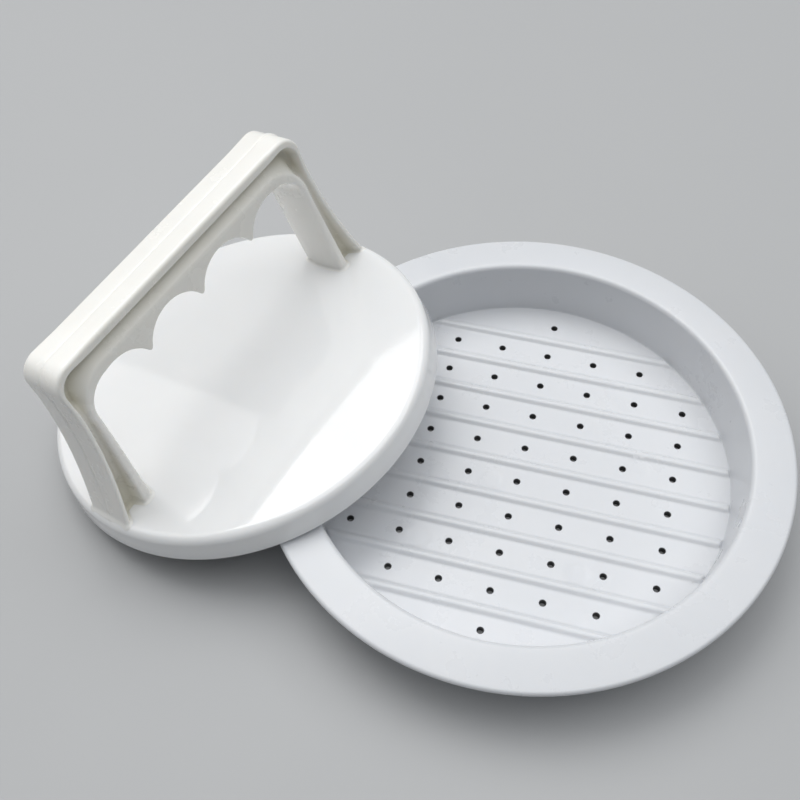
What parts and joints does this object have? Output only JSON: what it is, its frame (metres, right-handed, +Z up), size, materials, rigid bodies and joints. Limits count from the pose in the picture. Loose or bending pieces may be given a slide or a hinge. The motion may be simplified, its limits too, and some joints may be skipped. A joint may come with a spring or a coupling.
{
  "type": "patty press",
  "caption": "Round moulding tray with a wide flange and a ridged floor with drain holes, and a loose round hand press with a finger-scalloped bridge handle that leans on it.",
  "frame": {"origin": "centre of the tray's flat underside, on the surface it stands on", "axes": "+X along the tray's ridges, away from the leaning press; +Z up out of the tray's mouth; +Y completes the right-handed set"},
  "size_m": [0.1839, 0.1264, 0.0645],
  "materials": {
    "tray_plastic": "satin gloss",
    "press_plastic": "gloss"
  },
  "bodies": {
    "tray": {"tray_rim": "tray_plastic", "drain_floor": "tray_plastic"},
    "press": {"press_plate": "press_plastic", "press_skirt": "press_plastic", "handle_grip": "press_plastic", "handle_leg_front": "press_plastic", "handle_leg_back": "press_plastic"}
  },
  "joints": [
    {"name": "press_lift", "type": "slide", "parent": "tray", "child": "press", "axis": [0, 0, 1], "range_m": [0, 0.09]}
  ]
}
